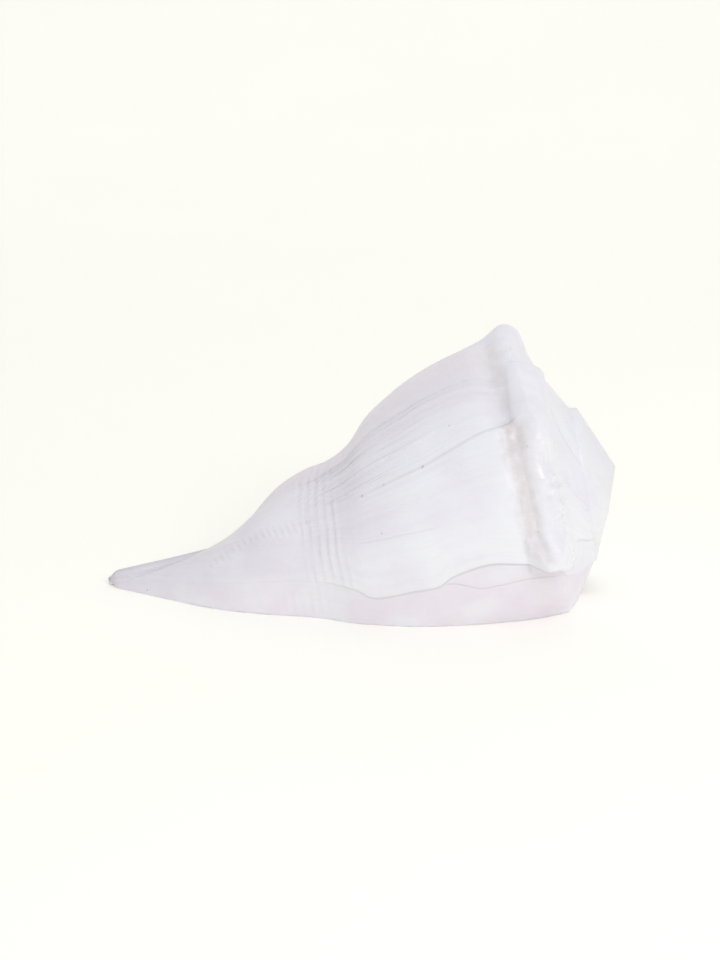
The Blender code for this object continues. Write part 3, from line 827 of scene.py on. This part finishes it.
lines_bump = add_node(tree, "ShaderNodeBump", links={
    "Height": lines_height.outputs["Value"], "Strength": 0.6, "Distance": 0.0005})
chalk = add_node(tree, "ShaderNodeTexNoise", links={
    "Vector": place.outputs["Object"], "Scale": 900.0, "Detail": 4.0, "Roughness": 0.6})
chalk_depth = add_node(tree, "ShaderNodeMath", {"operation": "MULTIPLY_ADD"}, {
    0: grime_and_shade_amount.outputs["Value"], 1: patch_noise.outputs["Fac"], 2: chalk.outputs["Fac"]})
pit_depth = add_node(tree, "ShaderNodeMath", {"operation": "MULTIPLY_ADD"}, {
    0: pit.outputs["Value"], 1: -1.5, 2: chalk_depth.outputs["Value"]})
chalk_bump = add_node(tree, "ShaderNodeBump", links={
    "Height": pit_depth.outputs["Value"], "Strength": 0.15, "Distance": 0.0005,
    "Normal": lines_bump.outputs["Normal"]})

# Ribs, blocks and beads stand up to 0.4 mm proud. Each mark has its own map of its phase, in tenths,
# and its height, and a power that makes its crests narrower than the gaps between them.
heights = []
for mark, sharp in (("ribs", 1.5), ("net", 2.5), ("beads", 1.3)):
    mark_map = add_node(tree, "ShaderNodeUVMap", {"uv_map": mark})
    mark_parts = add_node(tree, "ShaderNodeSeparateXYZ", links={"Vector": mark_map.outputs["UV"]})
    turns = add_node(tree, "ShaderNodeMath", {"operation": "MULTIPLY"}, {
        0: mark_parts.outputs["X"], 1: 20 * math.pi})
    wave = add_node(tree, "ShaderNodeMath", {"operation": "COSINE"}, {0: turns.outputs["Value"]})
    lifted = add_node(tree, "ShaderNodeMath", {"operation": "MULTIPLY_ADD"}, {
        0: wave.outputs["Value"], 1: 0.5, 2: 0.5})
    crest = add_node(tree, "ShaderNodeMath", {"operation": "POWER"}, {
        0: lifted.outputs["Value"], 1: sharp})
    heights.append((crest, mark_parts))
(rib_crest, rib_parts), (net_crest, net_parts), (bead_crest, bead_parts) = heights
net_low = add_node(tree, "ShaderNodeMath", {"operation": "MULTIPLY"}, {
    0: net_crest.outputs["Value"], 1: net_parts.outputs["Y"]})
rib_cut = add_node(tree, "ShaderNodeMath", {"operation": "MULTIPLY_ADD"}, {
    0: net_low.outputs["Value"], 1: -1.0, 2: 1.0})
rib_shape = add_node(tree, "ShaderNodeMath", {"operation": "MULTIPLY"}, {
    0: rib_crest.outputs["Value"], 1: rib_cut.outputs["Value"]})
rib_height = add_node(tree, "ShaderNodeMath", {"operation": "MULTIPLY"}, {
    0: rib_shape.outputs["Value"], 1: rib_parts.outputs["Y"]})
bead_height = add_node(tree, "ShaderNodeMath", {"operation": "MULTIPLY"}, {
    0: bead_crest.outputs["Value"], 1: bead_parts.outputs["Y"]})
sculpture = add_node(tree, "ShaderNodeMath", {"operation": "MAXIMUM"}, {
    0: rib_height.outputs["Value"], 1: bead_height.outputs["Value"]})
sculpture_bump = add_node(tree, "ShaderNodeBump", links={
    "Height": sculpture.outputs["Value"], "Strength": 0.75, "Distance": 0.0004,
    "Normal": chalk_bump.outputs["Normal"]})
tree.links.new(sculpture_bump.outputs["Normal"], surface.inputs["Normal"])

# The lining: lime laid down smooth, which shows as a warm glossy skin with faint lines of growth.
inside_lime, tree, surface = new_material("porcelain shell lining, glossy")
surface.inputs["Roughness"].default_value = 0.22
surface.inputs["IOR"].default_value = 1.55
surface.inputs["Subsurface Weight"].default_value = 0.10
surface.inputs["Subsurface Scale"].default_value = 0.003
surface.inputs["Coat Weight"].default_value = 0.25
surface.inputs["Coat Roughness"].default_value = 0.12
growth_map = add_node(tree, "ShaderNodeUVMap", {"uv_map": "growth"})
lining_scale = add_node(tree, "ShaderNodeMapping", links={
    "Vector": growth_map.outputs["UV"], "Scale": (26.0, 2.0, 1.0)})
lining_lines = add_node(tree, "ShaderNodeTexNoise", links={
    "Vector": lining_scale.outputs["Vector"], "Scale": 1.0, "Detail": 3.0})
warm = add_node(tree, "ShaderNodeMix", {"data_type": "RGBA"}, {
    "Factor": lining_lines.outputs["Fac"], "A": hex_colour("F6ECE6"), "B": hex_colour("EBD9D0")})
tree.links.new(warm.outputs["Result"], surface.inputs["Base Color"])
lining_bump = add_node(tree, "ShaderNodeBump", links={
    "Height": lining_lines.outputs["Fac"], "Strength": 0.15, "Distance": 0.0004})
tree.links.new(lining_bump.outputs["Normal"], surface.inputs["Normal"])

shell = outside(outside_lime)
cut(shell, hollow(inside_lime))
cut(shell, below_surface(outside_lime))
shell.data.shade_smooth()
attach(shell, "root")
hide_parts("shell")

# The table and the wall behind it: one sheet of warm white paper, curved up at the back. It is matt,
# with a faint mottle from its fibres, and gives off a little light, which keeps it evenly white.
SHEET_WIDTH = 5.0
FRONT_EDGE = -2.0
BEND_START = 1.2
BEND_RADIUS = 0.8
UPRIGHT = 1.6
paper, tree, surface = new_material("warm white paper, matt")
surface.inputs["Roughness"].default_value = 0.9
fibre_place = add_node(tree, "ShaderNodeTexCoord")
fibres = add_node(tree, "ShaderNodeTexNoise", links={
    "Vector": fibre_place.outputs["Object"], "Scale": 6.0, "Detail": 2.0})
paper_tint = add_node(tree, "ShaderNodeMix", {"data_type": "RGBA"}, {
    "Factor": fibres.outputs["Fac"], "A": hex_colour("FEFDF8"), "B": hex_colour("FCFBF5")})
tree.links.new(paper_tint.outputs["Result"], surface.inputs["Base Color"])
tree.links.new(paper_tint.outputs["Result"], surface.inputs["Emission Color"])
surface.inputs["Emission Strength"].default_value = 0.13

bm = bmesh.new()
start = bm.verts.new((-SHEET_WIDTH / 2, FRONT_EDGE, 0.0))
sweep = bmesh.ops.extrude_vert_indiv(bm, verts=[start])
bmesh.ops.translate(bm, verts=sweep["verts"], vec=(0.0, BEND_START - FRONT_EDGE, 0.0))
curve = bmesh.ops.spin(
    bm, geom=sweep["verts"], cent=(0.0, BEND_START, BEND_RADIUS), axis=(1, 0, 0), angle=math.pi / 2,
    steps=24)
top = [g for g in curve["geom_last"] if isinstance(g, bmesh.types.BMVert)]
wall_top = bmesh.ops.extrude_vert_indiv(bm, verts=top)
bmesh.ops.translate(bm, verts=wall_top["verts"], vec=(0.0, 0.0, UPRIGHT))
bmesh.ops.remove_doubles(bm, verts=bm.verts, dist=1e-6)
wide = bmesh.ops.extrude_edge_only(bm, edges=bm.edges[:])
far_edge = [g for g in wide["geom"] if isinstance(g, bmesh.types.BMVert)]
bmesh.ops.translate(bm, verts=far_edge, vec=(SHEET_WIDTH, 0.0, 0.0))
backdrop = made_object(bm, "paper_sweep", paper)
backdrop.data.shade_smooth()

# Soft studio light: the main panel high at the front right, a weak wide one overhead, one for the
# paper behind the shell, and a pale surround that fills the shade.
bpy.context.scene.view_settings.view_transform = "Standard"
world = bpy.data.worlds.new("pale surround")
world.use_nodes = True
world.node_tree.nodes["Background"].inputs["Color"].default_value = hex_colour("FFFFFF")
world.node_tree.nodes["Background"].inputs["Strength"].default_value = 0.655
bpy.context.scene.world = world


def soft_panel(name, place, aim, size, power, colour):
    """A lit rectangle at a place, turned towards its aim; metres and watts."""
    panel = bpy.data.lights.new(name, "AREA")
    panel.shape = "RECTANGLE"
    panel.size, panel.size_y = size
    panel.energy = power
    panel.color = hex_colour(colour)[:3]
    lamp = bpy.data.objects.new(name, panel)
    lamp.location = place
    lamp.rotation_euler = (Vector(aim) - Vector(place)).to_track_quat("-Z", "Y").to_euler()
    bpy.context.scene.collection.objects.link(lamp)


shell_middle = (0.0, 0.0, 0.04)
soft_panel("key", (0.54, -0.90, 0.80), shell_middle, (0.7, 0.6), 4.6, "FFFEFC")
soft_panel("overhead", (0.0, 0.1, 1.2), shell_middle, (1.2, 1.0), 0.6, "FFFFFF")
soft_panel("backdrop", (0.0, 1.0, 1.4), (0.0, 2.0, 0.0), (2.4, 0.6), 3.0, "FFFFFF")

# The camera: 0.8 m from the shell's middle and 18 degrees above it, with an 82 mm lens. It is tipped
# up a little, which puts the shell below the middle of the picture.
CAMERA_DISTANCE = 0.8
CAMERA_HEIGHT = math.radians(18.0)
TIPPED_UP = math.radians(1.125)
LENS_IN_PIXELS = 2189.5
PICTURE_HEIGHT = 960
SENSOR = 36
looking = Vector((0.0, math.cos(CAMERA_HEIGHT), -math.sin(CAMERA_HEIGHT)))
aimed = Vector((0.0, math.cos(CAMERA_HEIGHT - TIPPED_UP), -math.sin(CAMERA_HEIGHT - TIPPED_UP)))
lens = bpy.data.cameras.new("camera")
lens.lens = LENS_IN_PIXELS / PICTURE_HEIGHT * SENSOR
lens.sensor_width = SENSOR
lens.sensor_fit = "AUTO"
camera = bpy.data.objects.new("camera", lens)
camera.location = APEX + AXIS * (LENGTH / 2 * MM) - looking * CAMERA_DISTANCE
camera.rotation_euler = aimed.to_track_quat("-Z", "Y").to_euler()
bpy.context.scene.collection.objects.link(camera)
bpy.context.scene.camera = camera
